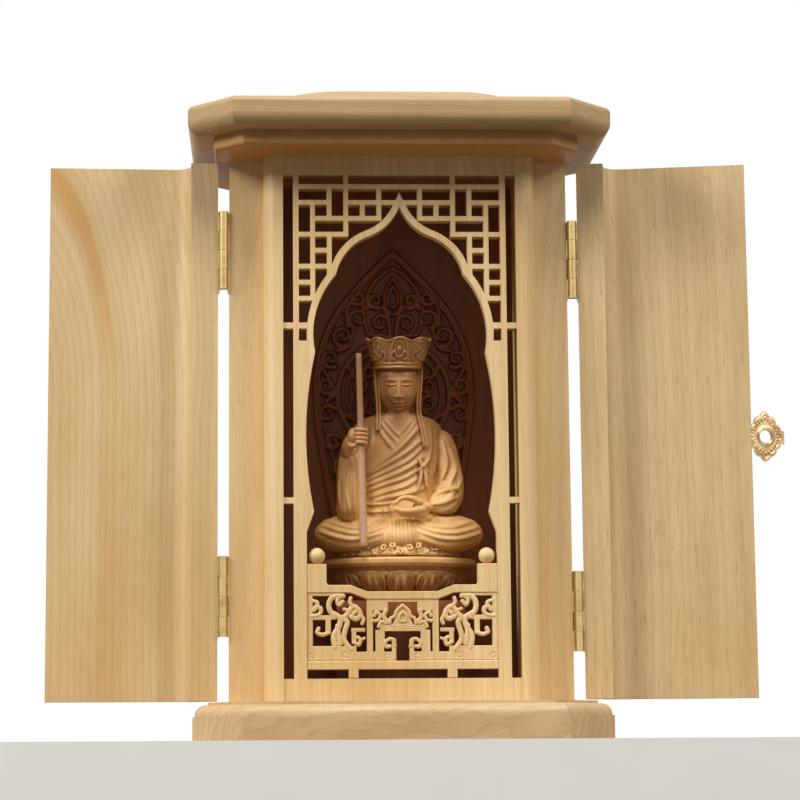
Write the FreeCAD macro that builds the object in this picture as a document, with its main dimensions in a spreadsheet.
"""Small table-top cabinet shrine: octagonal base and roof, two thick doors on
brass butt hinges, a fret-cut arched screen and a seated figure in the niche.

Frame: millimetres, +Z up, front towards -Y, origin at the middle of the
underside of the base. The doors are drawn closed and then turned open, so
every fit between door, screen and hasp is set in the closed position.
"""
import FreeCAD
import Part
import Sketcher
import math
import os

os.makedirs("parts", exist_ok=True)
doc = FreeCAD.newDocument("shrine")

SIZES = {
    # Base: a vertical band, a rounded upper step and a thin top plate
    "base_width": 102.4,
    "base_depth": 58.4,
    "base_corner": 12.3,
    "base_band_height": 5.6,
    "base_step_height": 2.9,
    "base_plate_height": 0.7,
    "base_step_inset": 0.5,
    "base_plate_inset": 3.6,
    "base_round": 2.6,
    # Case: two walls, a back board and the height between base and roof
    "case_width": 85.2,
    "case_height": 136.0,
    "case_front": 7.6,
    "case_back": 25.5,
    "wall_thickness": 8.6,
    "back_thickness": 4.0,
    # Front frame that stands proud of the wall ends
    "frame_reach": 7.0,
    "stile_width": 4.9,
    "stile_depth": 11.0,
    "stile_round": 3.6,
    # Roof: moulding, slab and cap
    "moulding_overhang": 2.9,
    "moulding_depth": 56.0,
    "moulding_corner": 7.4,
    "moulding_height": 3.6,
    "moulding_round": 0.9,
    "moulding_shift": 0.8,
    "moulding_set_back": 2.0,
    "slab_width": 105.4,
    "slab_depth": 62.4,
    "slab_corner": 11.2,
    "slab_height": 7.6,
    "slab_under_round": 3.4,
    "slab_top_round": 1.6,
    "cap_width": 60.0,
    "cap_depth": 33.0,
    "cap_corner": 7.8,
    "cap_height": 7.1,
    "cap_round": 5.4,
    # Fret screen
    "screen_inset": 0.4,
    "screen_thickness": 3.5,
    "top_rail_height": 5.0,
    "bottom_rail_height": 5.6,
    "side_bar_place": 25.9,
    "side_bar_width": 1.4,
    "bridge_height": 1.5,
    "upper_bridge_place": 43.2,
    "lower_bridge_place": 86.8,
    "lattice_bar": 1.2,
    "lattice_first_row": 7.9,
    "lattice_row_step": 4.06,
    "lattice_first_column": 5.1,
    "lattice_column_step": 4.15,
    "low_lattice_row": 47.6,
    "arch_band": 1.6,
    "arch_apex": 12.9,
    "arch_spike": 3.5,
    "arch_ogee_half": 7.5,
    "arch_ogee_drop": 20.5,
    "arch_shoulder_half": 15.9,
    "arch_shoulder_drop": 30.1,
    "arch_lobe_half": 21.2,
    "arch_lobe_drop": 49.8,
    "arch_side_half": 21.6,
    "arch_side_drop": 89.5,
    "arch_foot_half": 23.4,
    "ogee_bulge": 1.1,
    "shoulder_bulge": 1.7,
    "lobe_bulge": 2.4,
    "side_bulge": 2.1,
    # Balustrade below the arch
    "rail_top": 37.6,
    "rail_dip": 1.5,
    "rail_bar": 1.8,
    "dip_half_width": 8.4,
    "dip_slope": 3.8,
    "post_width": 5.0,
    "post_rise": 5.2,
    "finial_radius": 2.0,
    "panel_base": 19.3,
    "lower_rail_height": 2.1,
    "foot_width": 2.7,
    "foot_place": 11.6,
    "gate_width": 8.6,
    "gate_height": 4.4,
    "gate_stem_width": 3.6,
    "gate_stem_height": 1.8,
    "scroll_bar": 1.4,
    # Doors
    "door_rim_width": 6.8,
    "door_panel_thickness": 5.0,
    "door_recess": 7.5,
    "door_cove": 4.0,
    "door_corner": 4.6,
    "door_meeting_gap": 0.4,
    "door_end_gap": 0.5,
    "door_face_gap": 0.15,
    "left_door_open": 177.5,
    "right_door_open": 170.0,
    # Hinges
    "hinge_offset": 1.4,
    "hinge_height": 19.8,
    "hinge_leaf_width": 6.2,
    "hinge_leaf_thickness": 0.5,
    "knuckle_radius": 1.2,
    "knuckle_gap": 0.1,
    "hinge_pin_radius": 0.6,
    "hinge_pin_fit": 0.05,
    "left_upper_hinge": 122.3,
    "right_upper_hinge": 120.0,
    "left_lower_hinge": 35.3,
    "right_lower_hinge": 31.3,
    # Hasp on the right door and its catch on the left
    "hasp_place": 74.3,
    "hasp_edge": 2.2,
    "hasp_lift": 1.1,
    "hasp_barrel_radius": 0.75,
    "hasp_pin_radius": 0.4,
    "hasp_thickness": 0.5,
    "hasp_length": 12.0,
    "hasp_bulge": 1.2,
    "hasp_height": 13.3,
    "hasp_hole_place": 6.3,
    "hasp_hole_radius": 1.9,
    "hasp_open": 30.0,
    "hasp_plate_width": 7.0,
    "hasp_plate_height": 8.4,
    "hasp_knuckle_height": 2.6,
    "catch_plate_radius": 3.6,
    "catch_plate_thickness": 0.35,
    "catch_knob_radius": 1.2,
    "catch_knob_height": 2.6,
    # Niche: pedestal, lotus seat, halo board
    "figure_place": 2.6,
    "pedestal_width": 32.0,
    "pedestal_depth": 19.0,
    "seat_base": 34.2,
    "seat_width": 39.2,
    "seat_depth": 23.4,
    "seat_height": 11.2,
    "halo_width": 41.8,
    "halo_height": 92.0,
    "halo_base": 36.0,
    "halo_thickness": 2.0,
    # Figure
    "legs_width": 44.6,
    "legs_depth": 21.0,
    "legs_height": 11.4,
    "torso_width": 28.0,
    "torso_depth": 15.0,
    "torso_height": 23.6,
    "neck_radius": 3.1,
    "neck_height": 1.9,
    "head_width": 10.6,
    "head_depth": 11.4,
    "head_height": 11.2,
    "crown_width": 18.0,
    "crown_depth": 15.0,
    "crown_band_width": 11.4,
    "crown_height": 8.2,
    "staff_radius": 0.9,
    "staff_place": 10.2,
    "staff_gap": 0.1,
    "staff_height": 50.0,
    "staff_lean": 1.4,
    "staff_foot": 1.5,
    "torso_set_back": 1.0,
    "head_forward": 0.5,
    "shoulder_radius": 3.4,
    "elbow_radius": 4.2,
    "wrist_radius": 2.2,
    "hand_radius": 2.5,
    "hand_rise": 17.2,
    "lap_hand_rise": 0.8,
}


class Size:
    """A number together with the sheet formula that gives it."""

    def __init__(self, value, text):
        self.value = value
        self.text = text

    def _join(self, other, sign, value):
        text = other.text if isinstance(other, Size) else repr(float(other))
        return Size(value, f"({self.text} {sign} {text})")

    def __add__(self, other):
        return self._join(other, "+", self.value + float(other))

    def __sub__(self, other):
        return self._join(other, "-", self.value - float(other))

    def __mul__(self, other):
        return self._join(other, "*", self.value * float(other))

    def __truediv__(self, other):
        return self._join(other, "/", self.value / float(other))

    def __neg__(self):
        return Size(-self.value, f"(-1 * {self.text})")

    def __float__(self):
        return float(self.value)


def fill_sheet():
    """Write the driving sizes into the sheet and return them by name."""
    sheet = doc.addObject("Spreadsheet::Sheet", "sizes")
    for row, (name, value) in enumerate(SIZES.items(), start=1):
        sheet.set(f"A{row}", name)
        sheet.set(f"B{row}", str(value))
        sheet.setAlias(f"B{row}", name)
    doc.recompute()
    return type("Dimensions", (), {name: Size(float(sheet.get(name)), f"sizes.{name}") for name in SIZES})


d = fill_sheet()
ZERO = Size(0.0, "0")
XY, XZ = "XY_Plane", "XZ_Plane"
SIDES = {"left": -1, "right": 1}


def bind(thing, prop, size):
    """Tie one property of a document object to the sheet."""
    thing.setExpression(prop, size.text)


def place(thing, x=ZERO, y=ZERO, z=ZERO):
    """Tie the position of a document object to the sheet."""
    for axis, size in zip("xyz", (x, y, z)):
        bind(thing, f".Placement.Base.{axis}", size)


def arc_radius(start, end, bulge):
    """Radius of an arc from its two ends and its rise over the chord."""
    run = (end[0] - start[0]) * (end[0] - start[0]) + (end[1] - start[1]) * (end[1] - start[1])
    return (run / 4.0 + bulge * bulge) / (bulge * 2.0)


def draw_outline(owner, plane, steps, name):
    """Closed sketch through the steps, each (x, y) or (x, y, bulge, turn).

    A bulge makes the stretch that leads to the point an arc; turn is +1 when
    the arc swells to the left of the way, -1 when it swells to the right.
    """
    if owner is None:
        sketch = doc.addObject("Sketcher::SketchObject", name)
        if plane == XZ:
            sketch.Placement.Rotation = FreeCAD.Rotation(FreeCAD.Vector(1, 0, 0), 90)
    else:
        sketch = owner.newObject("Sketcher::SketchObject", name)
        sketch.AttachmentSupport = [(next(f for f in owner.Origin.OriginFeatures if f.Role == plane), "")]
        sketch.MapMode = "FlatFace"
    count = len(steps)
    for index, step in enumerate(steps):
        last = steps[index - 1]
        a = FreeCAD.Vector(float(last[0]), float(last[1]), 0)
        b = FreeCAD.Vector(float(step[0]), float(step[1]), 0)
        if len(step) == 2:
            sketch.addGeometry(Part.LineSegment(a, b))
            continue
        along = (b - a).normalize()
        normal = FreeCAD.Vector(-along.y, along.x, 0)
        top = (a + b) * 0.5 + normal * float(step[2]) * step[3]
        sketch.addGeometry(Part.Arc(a, top, b))
    for index, step in enumerate(steps):
        ends = [vertex_of(sketch, index, steps[index], True), vertex_of(sketch, (index + 1) % count,
                                                                          steps[(index + 1) % count], False)]
        sketch.addConstraint(Sketcher.Constraint("Coincident", index, ends[0], (index + 1) % count, ends[1]))
        for kind, axis, value in (("DistanceX", -2, step[0]), ("DistanceY", -1, step[1])):
            if value.text == "0":
                sketch.addConstraint(Sketcher.Constraint("PointOnObject", index, ends[0], axis))
                continue
            row = sketch.addConstraint(Sketcher.Constraint(kind, -1, 1, index, ends[0], float(value)))
            sketch.setExpression(f"Constraints[{row}]", value.text)
        if len(step) > 2:
            radius = arc_radius(steps[index - 1], step, step[2])
            row = sketch.addConstraint(Sketcher.Constraint("Radius", index, float(radius)))
            sketch.setExpression(f"Constraints[{row}]", radius.text)
    return sketch


def vertex_of(sketch, index, step, at_end):
    """Which end of a piece of the outline is its last (or first) point.

    An arc is stored counter-clockwise, so one that swells to the right of the
    way is stored from start to end, and the other from end to start.
    """
    if len(step) == 2 or step[3] < 0:
        return 2 if at_end else 1
    return 1 if at_end else 2


def new_body(name):
    """Body whose label names the sub-part."""
    body = doc.addObject("PartDesign::Body", name)
    body.Label = name
    return body


def pad(body, sketch, length, name, lift=None):
    """Pad a sketch upwards from its plane, raised by lift."""
    if lift is not None:
        sketch.setExpression(".AttachmentOffset.Base.z", lift.text)
    feature = body.newObject("PartDesign::Pad", name)
    feature.Profile = sketch
    bind(feature, "Length", length)
    sketch.Visibility = False
    body.Tip = feature
    return feature


def fillet(body, base, edges, radius, name):
    """Round the named edges of a feature."""
    feature = body.newObject("PartDesign::Fillet", name)
    feature.Base = (base, edges)
    bind(feature, "Radius", radius)
    body.Tip = feature
    return feature


def level_edges(shape, height):
    """Names of the edges that lie flat at the given height."""
    return [f"Edge{i}" for i, edge in enumerate(shape.Edges, start=1)
            if abs(edge.BoundBox.ZMin - height) < 1e-4 and abs(edge.BoundBox.ZMax - height) < 1e-4]


def octagon(half_x, half_y, corner):
    """Rectangle with its four corners cut off at 45 degrees."""
    short_x, short_y = half_x - corner, half_y - corner
    return [(half_x, -short_y), (half_x, short_y), (short_x, half_y), (-short_x, half_y),
            (-half_x, short_y), (-half_x, -short_y), (-short_x, -half_y), (short_x, -half_y)]


def box(name, length, width, height, x, y, z):
    """Box tied to the sheet."""
    solid = doc.addObject("Part::Box", name)
    bind(solid, "Length", length)
    bind(solid, "Width", width)
    bind(solid, "Height", height)
    place(solid, x, y, z)
    return solid


def cylinder(name, radius, height, x, y, z):
    """Upright cylinder tied to the sheet."""
    solid = doc.addObject("Part::Cylinder", name)
    bind(solid, "Radius", radius)
    bind(solid, "Height", height)
    place(solid, x, y, z)
    return solid


def fuse(name, shapes):
    """Join several solids into one."""
    joined = doc.addObject("Part::MultiFuse", name)
    joined.Shapes = shapes
    joined.Refine = True
    joined.Label = name
    return joined


def fuse_in_turn(name, shapes):
    """Join solids one after another, which suits lofts that cross each other."""
    joined = shapes[0]
    for index, shape in enumerate(shapes[1:]):
        pair = doc.addObject("Part::Fuse", f"{name}_{index}")
        pair.Base = joined
        pair.Tool = shape
        joined = pair
    joined.Label = name
    return joined


def cut(name, base, tool):
    """Take one solid away from another."""
    left = doc.addObject("Part::Cut", name)
    left.Base = base
    left.Tool = tool
    left.Refine = True
    left.Label = name
    return left


def extrude(name, sketch, length, forward=None):
    """Straight board from a free sketch drawn in the XZ plane, towards +Y."""
    solid = doc.addObject("Part::Extrusion", name)
    solid.Base = sketch
    solid.DirMode = "Custom"
    solid.Dir = FreeCAD.Vector(0, 1, 0)
    solid.Solid = True
    bind(solid, "LengthFwd", length)
    if forward is not None:
        place(solid, y=forward)
    return solid


NODES = []


def keep(thing, name=None):
    """Mark an object as a sub-part to be written out."""
    if name is not None:
        thing.Label = name
    NODES.append(thing)
    return thing


# Levels shared by many pieces
base_top = d.base_band_height + d.base_step_height + d.base_plate_height
case_top = base_top + d.case_height
case_half = d.case_width / 2.0
wall_inner = case_half - d.wall_thickness
frame_front = -(d.case_front + d.frame_reach)
moulding_top = case_top + d.moulding_height
slab_top = moulding_top + d.slab_height


def moulded_plate(name, half_x, half_y, corner, bottom, height, lower_round, upper_round):
    """Octagonal plate whose long edges are rounded below and above."""
    body = new_body(name)
    plan = draw_outline(body, XY, octagon(half_x, half_y, corner), name + "_plan")
    plate = pad(body, plan, height, name + "_pad", bottom)
    doc.recompute()
    top = float(bottom + height)
    if upper_round is not None:
        plate = fillet(body, plate, level_edges(plate.Shape, top), upper_round, name + "_upper")
        doc.recompute()
    if lower_round is not None:
        fillet(body, plate, level_edges(plate.Shape, float(bottom)), lower_round, name + "_lower")
    return keep(body)


def make_base():
    """Base: band, rounded step and top plate in one body."""
    body = new_body("base_plinth")
    half_x = d.base_width / 2.0
    half_y = d.base_depth / 2.0
    band = draw_outline(body, XY, octagon(half_x, half_y, d.base_corner), "band_plan")
    pad(body, band, d.base_band_height, "band")
    inset = d.base_step_inset
    step = draw_outline(body, XY, octagon(half_x - inset, half_y - inset, d.base_corner), "step_plan")
    step_pad = pad(body, step, d.base_step_height, "step", d.base_band_height)
    doc.recompute()
    top = float(d.base_band_height + d.base_step_height)
    fillet(body, step_pad, level_edges(step_pad.Shape, top), d.base_round, "step_round")
    inset = d.base_plate_inset
    plate = draw_outline(body, XY, octagon(half_x - inset, half_y - inset, d.base_corner), "plate_plan")
    pad(body, plate, d.base_plate_height, "plate", d.base_band_height + d.base_step_height)
    keep(body)


def make_case():
    """Two side walls and the back board between them."""
    depth = d.case_front + d.case_back
    for side, sign in SIDES.items():
        start = wall_inner if sign > 0 else -case_half
        keep(box(f"{side}_wall", d.wall_thickness, depth, d.case_height, start, -d.case_front, base_top),
             f"{side}_wall")
    keep(box("back_panel", wall_inner * 2.0, d.back_thickness, d.case_height,
             -wall_inner, d.case_back - d.back_thickness, base_top), "back_panel")


def make_stiles():
    """Upright boards beside the screen, with a round outer front edge."""
    for side, sign in SIDES.items():
        body = new_body(f"{side}_stile")
        outer, inner = wall_inner * sign, (wall_inner - d.stile_width) * sign
        back = frame_front + d.stile_depth
        turn_start = wall_inner - d.stile_round
        sagitta = d.stile_round * (1 - math.sqrt(0.5))
        steps = [(inner, frame_front), (turn_start * sign, frame_front),
                 (outer, frame_front + d.stile_round, sagitta, -sign), (outer, back), (inner, back)]
        plan = draw_outline(body, XY, steps, f"{side}_stile_plan")
        pad(body, plan, d.case_height, f"{side}_stile_pad", base_top)
        keep(body)


def make_roof():
    """Moulding over the case, slab on it and the small cap on top.

    The moulding reaches further back than forward, and sits a little to the left.
    """
    moulding = moulded_plate("roof_moulding", case_half + d.moulding_overhang, d.moulding_depth / 2.0,
                  d.moulding_corner, case_top, d.moulding_height, d.moulding_round, None)
    place(moulding, -d.moulding_shift, d.moulding_set_back, ZERO)
    moulded_plate("roof_slab", d.slab_width / 2.0, d.slab_depth / 2.0, d.slab_corner, moulding_top,
                  d.slab_height, d.slab_under_round, d.slab_top_round)
    moulded_plate("roof_cap", d.cap_width / 2.0, d.cap_depth / 2.0, d.cap_corner, slab_top,
                  d.cap_height, None, d.cap_round)


screen_half = wall_inner - d.stile_width
screen_front = frame_front + d.screen_inset


def arch_steps():
    """Outline of the arched opening: five pairs of arcs down to the balustrade."""
    foot = base_top + d.bottom_rail_height
    right = [(d.arch_ogee_half, case_top - d.arch_ogee_drop, d.ogee_bulge, 1),
             (d.arch_shoulder_half, case_top - d.arch_shoulder_drop, d.shoulder_bulge, 1),
             (d.arch_lobe_half, case_top - d.arch_lobe_drop, d.lobe_bulge, 1),
             (d.arch_side_half, case_top - d.arch_side_drop, d.side_bulge, 1)]
    bulges = [step[2] for step in right]
    turns = [-1, 1, 1, 1]
    steps = [(ZERO, case_top - d.arch_apex)]
    steps += [(x, z, bulge, turn) for (x, z, bulge, _), turn in zip(right, turns)]
    steps += [(d.arch_foot_half, case_top - d.arch_side_drop - d.post_width), (d.arch_foot_half, foot),
              (-d.arch_foot_half, foot), (-d.arch_foot_half, case_top - d.arch_side_drop - d.post_width)]
    points = [(-x, z) for x, z, _, _ in reversed(right)]
    left = [points[0]]
    left += [(x, z, bulge, turn) for (x, z), bulge, turn in
             zip(points[1:] + [(ZERO, case_top - d.arch_apex)], reversed(bulges), reversed(turns))]
    return steps[1:] + left


def lattice_bars():
    """Bars of the right half, each (x from, x to, z from, z to) at bar centres.

    Columns count outwards from the middle and rows downwards from the top.
    Bars that run into the arch are trimmed by its opening.
    """
    column = [d.lattice_first_column + d.lattice_column_step * i for i in range(5)] + [d.side_bar_place]
    row = [case_top - d.lattice_first_row - d.lattice_row_step * i for i in range(8)]
    rail = case_top - d.top_rail_height / 2.0
    low = case_top - d.low_lattice_row
    level = [(column[5], ZERO, row[0]), (column[5], column[3], row[1]), (column[2], ZERO, row[1]),
             (column[4], column[0], row[2]), (column[5], column[2], row[3]), (column[4], column[3], row[4]),
             (column[5], column[3], row[5]), (column[5], column[4], row[6]), (column[5], column[4], row[7]),
             (column[5], d.arch_lobe_half, low)]
    upright = [(column[2], rail, row[3]), (column[3], row[0], row[2]), (column[4], row[1], row[7]),
               (column[0], row[0], row[2]), (column[1], row[1], row[2]), (column[3], row[3], row[6])]
    bars = [(inner, outer, z, z) for outer, inner, z in level]
    bars += [(x, x, bottom, top) for x, top, bottom in upright]
    return bars


def mirrored_boxes(name, span, low, high, front, thickness):
    """Box from span[0] to span[1] on the right and its mirror on the left."""
    width = span[1] - span[0]
    pair = []
    for side, start in (("right", span[0]), ("left", -span[1])):
        pair.append(box(f"{name}_{side}", width, thickness, high - low, start, front, low))
    return pair


def make_screen():
    """Fret-cut screen: rails, side bars, lattice and a banded ogee arch."""
    thick = d.screen_thickness
    foot = base_top + d.bottom_rail_height
    rail_low = case_top - d.top_rail_height
    whole = screen_half * 2.0
    pieces = [box("top_rail", whole, thick, d.top_rail_height, -screen_half, screen_front, rail_low),
              box("bottom_rail", whole, thick, d.bottom_rail_height, -screen_half, screen_front, base_top)]
    half_bar = d.side_bar_width / 2.0
    inner, outer = d.side_bar_place - half_bar, d.side_bar_place + half_bar
    pieces += mirrored_boxes("side_bar", (inner, outer), base_top + d.bottom_rail_height / 2.0,
                             case_top - d.top_rail_height / 2.0, screen_front, thick)
    side_low = case_top - d.low_lattice_row
    pieces += mirrored_boxes("side_board", (d.arch_side_half, outer), foot - d.bottom_rail_height / 2.0, side_low,
                             screen_front, thick)
    for name, drop in (("upper_bridge", d.upper_bridge_place), ("lower_bridge", d.lower_bridge_place)):
        middle = case_top - drop
        pieces += mirrored_boxes(name, (d.arch_side_half, screen_half), middle - d.bridge_height / 2.0,
                                 middle + d.bridge_height / 2.0, screen_front, thick)
    half = d.lattice_bar / 2.0
    for index, (x_from, x_to, z_low, z_high) in enumerate(lattice_bars()):
        if x_from.text == "0":
            x_from = half
        pieces += mirrored_boxes(f"lattice_{index}", (x_from - half, x_to + half), z_low - half, z_high + half,
                                 screen_front, thick)
    opening = draw_outline(None, XZ, arch_steps(), "arch_outline")
    band = doc.addObject("Part::Offset2D", "arch_band")
    band.Source = opening
    bind(band, "Value", d.arch_band)
    pieces.append(extrude("arch_board", band, thick, screen_front))
    apex = case_top - d.arch_apex
    spike = draw_outline(None, XZ, [(d.arch_band, apex), (ZERO, apex + d.arch_spike), (-d.arch_band, apex)],
                         "spike_outline")
    pieces.append(extrude("arch_spike", spike, thick, screen_front))
    solid = fuse("screen_solid", pieces)
    margin = d.screen_thickness
    void = extrude("arch_void", opening, thick + margin * 2.0, screen_front - margin)
    keep(cut("fret_screen", solid, void))


def make_balustrade():
    """Low railing that closes the foot of the arch, with ball finials."""
    half = d.arch_foot_half
    foot = base_top + d.bottom_rail_height
    post_top = d.rail_top + d.post_rise
    low = d.rail_top - d.rail_dip
    slope_end = d.dip_half_width + d.dip_slope
    right = [(half, foot), (half, post_top), (half - d.post_width, post_top), (half - d.post_width, d.rail_top),
             (slope_end, d.rail_top), (d.dip_half_width, low)]
    outline = draw_outline(None, XZ, right + [(-x, z) for x, z in reversed(right)], "balustrade_outline")
    board = extrude("balustrade_board", outline, d.screen_thickness, screen_front)
    margin = d.screen_thickness
    deep = d.screen_thickness + margin * 2.0
    start = screen_front - margin
    rail_low = d.panel_base - d.lower_rail_height
    cuts = mirrored_boxes("foot_slot", (d.foot_place + d.foot_width / 2.0, half), foot, rail_low, start, deep)
    inner = d.foot_place - d.foot_width / 2.0
    cuts.append(box("foot_slot_middle", inner * 2.0, deep, rail_low - foot, -inner, start, foot))
    cuts.append(box("gate", d.gate_width, deep, d.gate_height, -(d.gate_width / 2.0), start, d.panel_base))
    cuts.append(box("gate_stem", d.gate_stem_width, deep, d.gate_height + d.gate_stem_height,
                    -(d.gate_stem_width / 2.0), start, d.panel_base))
    bar = d.scroll_bar
    panel_top = low - d.rail_bar
    middle = (d.panel_base + panel_top) / 2.0
    first = d.gate_width / 2.0 + bar
    cell = (half - bar - first) / 3.0
    for index in range(3):
        x_from = first + cell * index + bar / 2.0
        x_to = first + cell * (index + 1) - bar / 2.0
        cuts += mirrored_boxes(f"scroll_low_{index}", (x_from, x_to), d.panel_base, middle - bar / 2.0, start, deep)
        cuts += mirrored_boxes(f"scroll_high_{index}", (x_from, x_to), middle + bar / 2.0, panel_top, start, deep)
    keep(cut("balustrade", board, fuse("balustrade_cuts", cuts)))
    for side, sign in SIDES.items():
        ball = doc.addObject("Part::Sphere", f"{side}_ball")
        bind(ball, "Radius", d.finial_radius)
        place(ball, (half - d.post_width / 2.0) * sign, screen_front + d.screen_thickness / 2.0,
              post_top + d.finial_radius)
        keep(ball, f"{side}_finial")


hinge_x = case_half + d.hinge_offset
DOOR_OPEN = {"left": d.left_door_open, "right": d.right_door_open}
door_outer = d.door_recess + d.door_panel_thickness


def turn_open(thing, side):
    """Move a piece drawn closed about its hinge axis to its open place."""
    sign = SIDES[side]
    place(thing, hinge_x * sign, -d.case_front)
    bind(thing, ".Placement.Rotation.Angle", DOOR_OPEN[side] * sign)
    thing.setExpression(".Placement.Rotation.Axis.z", "1")
    thing.setExpression(".Placement.Rotation.Axis.x", "0")
    thing.setExpression(".Placement.Rotation.Axis.y", "0")


def make_door(side):
    """Door board of L section: a rim at the hinge side and a recessed panel."""
    sign = SIDES[side]
    inward = -sign
    body = new_body(f"{side}_door_panel")
    near = d.hinge_offset
    rim = near + d.door_rim_width
    far = near + case_half - d.door_meeting_gap / 2.0
    floor = -d.door_recess
    face = -d.door_face_gap
    cove = d.door_cove
    sagitta_share = 1 - math.sqrt(0.5)
    steps = [(near, face), (rim, face), (rim, floor + cove), (rim + cove, floor, cove * sagitta_share, -inward),
             (far, floor), (far, -door_outer), (near + d.door_corner, -door_outer),
             (near, d.door_corner - door_outer, d.door_corner * sagitta_share, -inward)]
    steps = [(step[0] * inward,) + step[1:] for step in steps]
    plan = draw_outline(body, XY, steps, f"{side}_door_plan")
    height = d.case_height - d.door_end_gap * 2.0
    pad(body, plan, height, f"{side}_door_pad", base_top + d.door_end_gap)
    turn_open(body, side)
    keep(body)


def knuckle(name, low, high, bore):
    """One hinge knuckle round the axis."""
    barrel = cylinder(f"{name}_barrel", d.knuckle_radius, high - low, ZERO, ZERO, low)
    hole = cylinder(f"{name}_hole", bore, high - low, ZERO, ZERO, low)
    return barrel, hole


def make_hinge(side, level, middle):
    """Butt hinge: a leaf on the wall, a leaf on the door and a domed pin."""
    sign = SIDES[side]
    name = f"{side}_{level}"
    low = middle - d.hinge_height / 2.0
    step = d.hinge_height / 4.0
    bore = d.hinge_pin_radius + d.hinge_pin_fit
    root = d.knuckle_radius + d.knuckle_gap
    clear = d.knuckle_gap / 2.0
    for role, first, toward in (("wall_leaf", 0, 1), ("door_leaf", 1, -1)):
        solids = []
        holes = []
        leaf_x = d.hinge_offset - d.hinge_leaf_thickness
        x_start = -d.hinge_offset if sign > 0 else leaf_x
        y_start = root if toward > 0 else -root - d.hinge_leaf_width
        solids.append(box(f"{name}_{role}_plate", d.hinge_leaf_thickness, d.hinge_leaf_width, d.hinge_height,
                          x_start, y_start, low))
        for index in (first, first + 2):
            bottom = low + step * index + (clear if index > 0 else ZERO)
            top = low + step * (index + 1) - (clear if index < 3 else ZERO)
            barrel, hole = knuckle(f"{name}_{role}_{index}", bottom, top, bore)
            y_tab = d.knuckle_gap if toward > 0 else -root
            tab = box(f"{name}_{role}_{index}_tab", d.hinge_leaf_thickness, root - d.knuckle_gap, top - bottom,
                      x_start, y_tab, bottom)
            solids += [barrel, tab]
            holes.append(hole)
        leaf = cut(f"{name}_{role}", fuse(f"{name}_{role}_solid", solids), fuse(f"{name}_{role}_bore", holes))
        if toward > 0:
            place(leaf, hinge_x * sign, -d.case_front)
        else:
            turn_open(leaf, side)
        keep(leaf)
    shank = cylinder(f"{name}_shank", d.hinge_pin_radius, d.hinge_height, ZERO, ZERO, low)
    domes = []
    for end, height in (("foot", low - d.knuckle_gap), ("head", low + d.hinge_height + d.knuckle_gap)):
        dome = doc.addObject("Part::Sphere", f"{name}_{end}")
        bind(dome, "Radius", d.knuckle_radius)
        dome.Angle1 = 0 if end == "head" else -90
        dome.Angle2 = 90 if end == "head" else 0
        place(dome, z=height)
        domes.append(dome)
        neck = cylinder(f"{name}_{end}_neck", d.hinge_pin_radius, d.knuckle_gap * 2.0, ZERO, ZERO,
                        height - d.knuckle_gap)
        domes.append(neck)
    pin = fuse(f"{name}_pin", [shank] + domes)
    place(pin, hinge_x * sign, -d.case_front)
    keep(pin)


def standing_out(name, radius, length, x, y, z):
    """Cylinder whose axis runs towards -Y from the given point."""
    solid = cylinder(name, radius, length, x, y, z)
    solid.setExpression(".Placement.Rotation.Angle", "90")
    solid.setExpression(".Placement.Rotation.Axis.x", "1")
    solid.setExpression(".Placement.Rotation.Axis.y", "0")
    solid.setExpression(".Placement.Rotation.Axis.z", "0")
    return solid


def make_catch():
    """Round plate and knob on the left door, under the hasp's hole."""
    face = -door_outer
    x = hinge_x + (d.hasp_edge - d.hasp_hole_place)
    z = d.hasp_place
    plate = standing_out("catch_disc", d.catch_plate_radius, d.catch_plate_thickness, x, face, z)
    stem = standing_out("catch_stem", d.catch_knob_radius * 0.8, d.catch_knob_height, x, face, z)
    head = doc.addObject("Part::Sphere", "catch_head")
    bind(head, "Radius", d.catch_knob_radius)
    place(head, x, face - d.catch_knob_height, z)
    knob = fuse("catch_plate", [plate, stem, head])
    turn_open(knob, "left")
    keep(knob)


def figure_section(name, width, depth, z, y):
    """Level ellipse, wide in X."""
    ring = doc.addObject("Part::Ellipse", name)
    bind(ring, "MajorRadius", width / 2.0)
    bind(ring, "MinorRadius", depth / 2.0)
    place(ring, ZERO, y, z)
    return ring


def loft(name, sections):
    """Smooth solid through level sections."""
    solid = doc.addObject("Part::Loft", name)
    solid.Sections = sections
    solid.Solid = True
    solid.Ruled = False
    return solid


def stack(name, form, width, depth, height, base, y):
    """Loft through ellipses given as shares of height, width and depth."""
    rings = [figure_section(f"{name}_ring_{i}", width * w, depth * t, base + height * h, y)
             for i, (h, w, t) in enumerate(form)]
    return loft(name, rings)


SEAT_FORM = ((0.0, 0.80, 0.80), (0.25, 0.74, 0.72), (0.62, 0.96, 0.95), (0.80, 1.0, 1.0), (1.0, 0.97, 0.96))
LEGS_FORM = ((0.0, 0.90, 0.90), (0.25, 0.99, 1.0), (0.5, 1.0, 0.97), (0.8, 0.82, 0.80), (1.0, 0.62, 0.62))
TORSO_FORM = ((0.0, 0.80, 0.86), (0.35, 0.80, 0.90), (0.72, 1.0, 1.0), (0.9, 0.86, 0.80), (1.0, 0.45, 0.55))
CROWN_FORM = ((0.0, 0.0), (0.35, 0.18), (0.75, 0.70), (1.0, 1.0))


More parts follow.
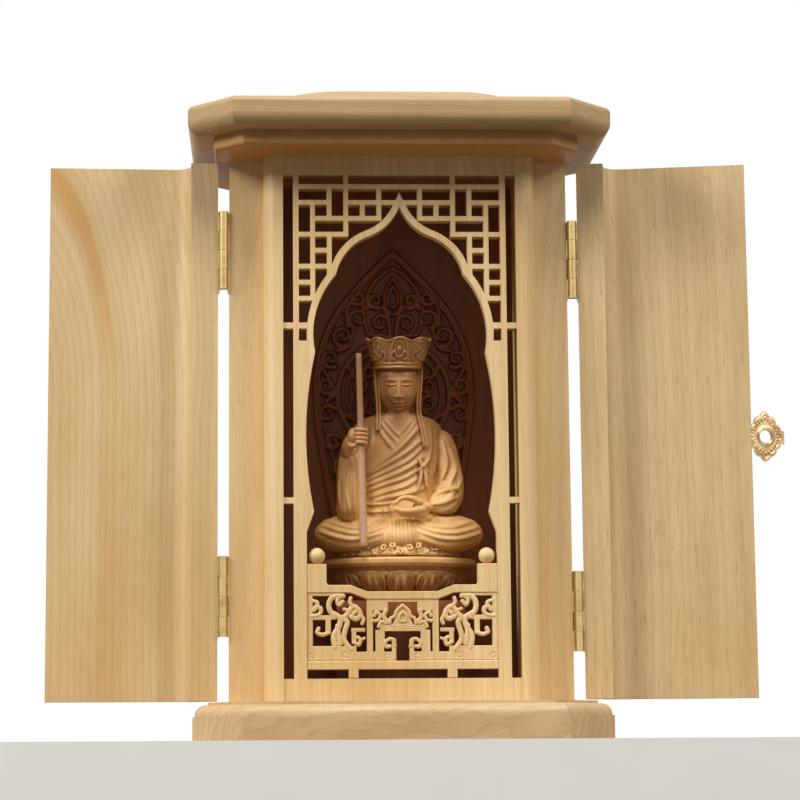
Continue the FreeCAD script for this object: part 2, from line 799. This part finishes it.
def make_niche():
    """Pedestal, lotus seat and halo board behind the figure."""
    y = d.figure_place
    keep(box("pedestal", d.pedestal_width, d.pedestal_depth, d.seat_base - base_top, -(d.pedestal_width / 2.0),
             y - d.pedestal_depth / 2.0, base_top), "pedestal")
    keep(stack("lotus_seat", SEAT_FORM, d.seat_width, d.seat_depth, d.seat_height, d.seat_base, y), "lotus_seat")
    half = d.halo_width / 2.0
    top = d.halo_base + d.halo_height
    waist = d.halo_base + d.halo_height * 0.55
    foot = half * 0.62
    steps = [(half, waist, half * 0.12, -1), (ZERO, top, half * 0.28, -1), (-half, waist, half * 0.28, -1),
             (-foot, d.halo_base, half * 0.12, -1), (foot, d.halo_base)]
    outline = draw_outline(None, XZ, steps, "halo_outline")
    board = extrude("halo_blank", outline, d.halo_thickness, d.case_back - d.back_thickness - d.halo_thickness)
    holes = []
    for index in range(9):
        angle = math.radians(-40 + 220 / 8 * index)
        hole = doc.addObject("Part::Cylinder", f"halo_hole_{index}")
        bind(hole, "Radius", half * 0.12)
        bind(hole, "Height", d.halo_thickness * 3.0)
        hole.Placement.Rotation = FreeCAD.Rotation(FreeCAD.Vector(1, 0, 0), 90)
        place(hole, half * 0.7 * math.cos(angle), d.case_back, waist + half * 0.9 * math.sin(angle))
        holes.append(hole)
    keep(cut("halo_board", board, fuse("halo_holes", holes)))


def limb(name, joints):
    """Row of spheres joined by cones, as one solid; joints are (x, y, z, radius)."""
    solid = None
    joints = [tuple(float(value) for value in joint) for joint in joints]
    for first, second in zip(joints, joints[1:]):
        a, b = FreeCAD.Vector(*first[:3]), FreeCAD.Vector(*second[:3])
        run = b - a
        if first[3] == second[3]:
            piece = Part.makeCylinder(first[3], run.Length, a, run)
        else:
            piece = Part.makeCone(first[3], second[3], run.Length, a, run)
        for point, radius in ((a, first[3]), (b, second[3])):
            piece = piece.fuse(Part.makeSphere(radius, point))
        solid = piece if solid is None else solid.fuse(piece)
    thing = doc.addObject("Part::Feature", name)
    thing.Shape = solid.removeSplitter()
    return thing


def make_head(y, low):
    """Egg-shaped head, flat below and above, and the flared crown on it."""
    egg = doc.addObject("Part::Ellipsoid", "head_egg")
    bind(egg, "Radius1", d.head_height * 0.62)
    bind(egg, "Radius2", d.head_depth / 2.0)
    bind(egg, "Radius3", d.head_width / 2.0)
    egg.Placement.Rotation = FreeCAD.Rotation(FreeCAD.Vector(0, 0, 1), 90)
    place(egg, ZERO, y, low + d.head_height * 0.56)
    span = box("head_span", d.head_width * 2.0, d.head_depth * 2.0, d.head_height, -d.head_width,
               y - d.head_depth, low)
    skull = doc.addObject("Part::Common", "skull")
    skull.Base = egg
    skull.Tool = span
    rings = [figure_section(f"crown_ring_{i}", d.crown_band_width + (d.crown_width - d.crown_band_width) * flare,
                            d.crown_band_width * 0.96 + (d.crown_depth - d.crown_band_width) * flare,
                            low + d.head_height + d.crown_height * rise, y)
             for i, (rise, flare) in enumerate(CROWN_FORM)]
    return [skull, loft("crown", rings)]


def make_figure():
    """Seated figure carved in one block, with a separate staff in its hand."""
    y = d.figure_place
    legs_low = d.seat_base + d.seat_height
    legs_top = legs_low + d.legs_height
    torso_y = y + d.torso_set_back
    torso_top = legs_top + d.torso_height
    pieces = [stack("legs", LEGS_FORM, d.legs_width, d.legs_depth, d.legs_height, legs_low, y),
              stack("torso", TORSO_FORM, d.torso_width, d.torso_depth, d.torso_height, legs_top, torso_y),
              cylinder("neck", d.neck_radius, d.neck_height * 2.0, ZERO, torso_y, torso_top - d.neck_height)]
    pieces += make_head(torso_y - d.head_forward, torso_top + d.neck_height)
    shoulder = legs_top + d.torso_height * 0.74
    half = d.torso_width / 2.0
    staff_y = y - d.legs_depth / 2.0 - d.staff_radius - d.staff_gap
    grip = legs_top + d.hand_rise
    lap = legs_top + d.lap_hand_rise
    lap_y = y - d.legs_depth / 2.0 + d.hand_radius
    right_arm = limb("right_arm", [
        (-half * 0.80, torso_y, shoulder, d.shoulder_radius),
        (-half * 0.98, torso_y - d.elbow_radius, (shoulder + legs_top) / 2.0, d.elbow_radius),
        (-d.staff_place, staff_y + d.hand_radius, grip - d.hand_radius, d.wrist_radius),
        (-d.staff_place - d.staff_gap, staff_y + d.staff_radius * 1.4, grip, d.hand_radius)])
    left_arm = limb("left_arm", [
        (half * 0.80, torso_y, shoulder, d.shoulder_radius),
        (half * 1.02, torso_y - d.elbow_radius * 0.5, (shoulder + legs_top * 2.0) / 3.0, d.elbow_radius),
        (half * 0.55, lap_y + d.hand_radius, lap + d.wrist_radius * 0.5, d.wrist_radius * 1.3),
        (half * 0.24, lap_y, lap, d.wrist_radius)])
    run = FreeCAD.Vector(-float(d.staff_lean), 0, float(d.staff_height))
    foot = FreeCAD.Vector(float(d.staff_lean * 0.55 - d.staff_place), float(staff_y), float(legs_low + d.staff_foot))
    staff = doc.addObject("Part::Feature", "figure_staff")
    staff.Shape = Part.makeCylinder(float(d.staff_radius), run.Length, foot, run)
    keep(fuse_in_turn("figure", pieces + [cut("holding_arm", right_arm, staff), left_arm]))
    keep(staff, "figure_staff")


def swing(thing, angle, x, y, z):
    """Turn a piece about an upright line and move that line to (x, y)."""
    bind(thing, ".Placement.Rotation.Angle", angle)
    thing.setExpression(".Placement.Rotation.Axis.z", "1")
    thing.setExpression(".Placement.Rotation.Axis.x", "0")
    thing.setExpression(".Placement.Rotation.Axis.y", "0")
    place(thing, x, y, z)


def make_hasp():
    """Base plate on the right door, swinging leaf with its hole and finger tab."""
    x = d.hasp_edge - hinge_x
    y = -(door_outer + d.hasp_lift)
    z = d.hasp_place
    knuckle_height = d.hasp_knuckle_height
    gap = d.knuckle_gap / 2.0
    thick = d.hasp_thickness
    plate = box("hasp_base", d.hasp_plate_width, thick, d.hasp_plate_height, x + d.hasp_barrel_radius + gap,
                -(door_outer + thick), z - d.hasp_plate_height / 2.0)
    solids = [plate]
    total = knuckle_height * 3.0
    low = z - total / 2.0
    for index in (0, 2):
        bottom = low + knuckle_height * index + (gap if index else ZERO)
        height = knuckle_height - gap
        solids.append(cylinder(f"hasp_knuckle_{index}", d.hasp_barrel_radius, height, x, y, bottom))
        solids.append(box(f"hasp_strap_{index}", d.hasp_barrel_radius * 2.0, d.hasp_lift, height, x,
                          -(door_outer + d.hasp_lift), bottom))
    solids.append(cylinder("hasp_pin", d.hasp_pin_radius, total, x, y, low))
    base = fuse("hasp_plate", solids)
    turn_open(base, "right")
    keep(base)

    barrel = cylinder("leaf_barrel", d.hasp_barrel_radius, knuckle_height - gap * 2.0, ZERO, ZERO,
                      knuckle_height * -0.5 + gap)
    bore = cylinder("leaf_bore", d.hasp_pin_radius + d.hinge_pin_fit, knuckle_height, ZERO, ZERO,
                    knuckle_height * -0.5)
    centre = -d.hasp_hole_place
    half_high = d.hasp_height / 2.0
    half_wide = d.hasp_length - d.hasp_hole_place
    neck_half = knuckle_height / 2.0 - gap
    neck_x = -(d.hasp_barrel_radius + gap * 2.0)
    corner = centre + half_wide * 0.62
    bulge = d.hasp_bulge
    steps = [(ZERO, neck_half), (neck_x, neck_half), (corner, neck_half * 1.6), (centre, half_high, bulge, -1),
             (centre - half_wide, ZERO, bulge, -1), (centre, -half_high, bulge, -1),
             (corner, neck_half * -1.6, bulge, -1), (neck_x, -neck_half), (ZERO, -neck_half)]
    outline = draw_outline(None, XZ, steps, "leaf_outline")
    blade = extrude("leaf_blade", outline, thick, -(thick / 2.0))
    hole = standing_out("leaf_hole", d.hasp_hole_radius, thick * 4.0, centre, thick * 2.0, ZERO)
    solid = fuse("leaf_solid", [barrel, blade])
    cuts = fuse("leaf_cuts", [bore, hole])
    for thing in (solid, cuts):
        swing(thing, d.hasp_open, x, y, z)
    leaf = cut("hasp_leaf", solid, cuts)
    turn_open(leaf, "right")
    keep(leaf)


def check_and_write():
    """Stop on any failed object, then write each sub-part."""
    doc.recompute()
    for thing in doc.Objects:
        if "Invalid" in thing.State or "Error" in thing.State:
            raise RuntimeError(f"{thing.Label} did not rebuild: {thing.State}")
    for thing in NODES:
        shape = thing.Shape
        if shape.isNull() or not shape.isValid():
            raise RuntimeError(f"{thing.Label} has no valid shape")
        shape.exportStep(f"parts/{thing.Label}.step")
        extent = shape.BoundBox
        print(f"{thing.Label:24s} solids {len(shape.Solids)} volume {shape.Volume:9.1f} "
              f"x {extent.XMin:7.2f} {extent.XMax:7.2f} y {extent.YMin:7.2f} {extent.YMax:7.2f} "
              f"z {extent.ZMin:7.2f} {extent.ZMax:7.2f}")


make_base()
make_case()
make_stiles()
make_roof()
make_screen()
make_balustrade()
for door_side in SIDES:
    make_door(door_side)
make_hinge("left", "upper", d.left_upper_hinge)
make_hinge("left", "lower", d.left_lower_hinge)
make_hinge("right", "upper", d.right_upper_hinge)
make_hinge("right", "lower", d.right_lower_hinge)
make_catch()
make_hasp()
make_niche()
make_figure()
check_and_write()
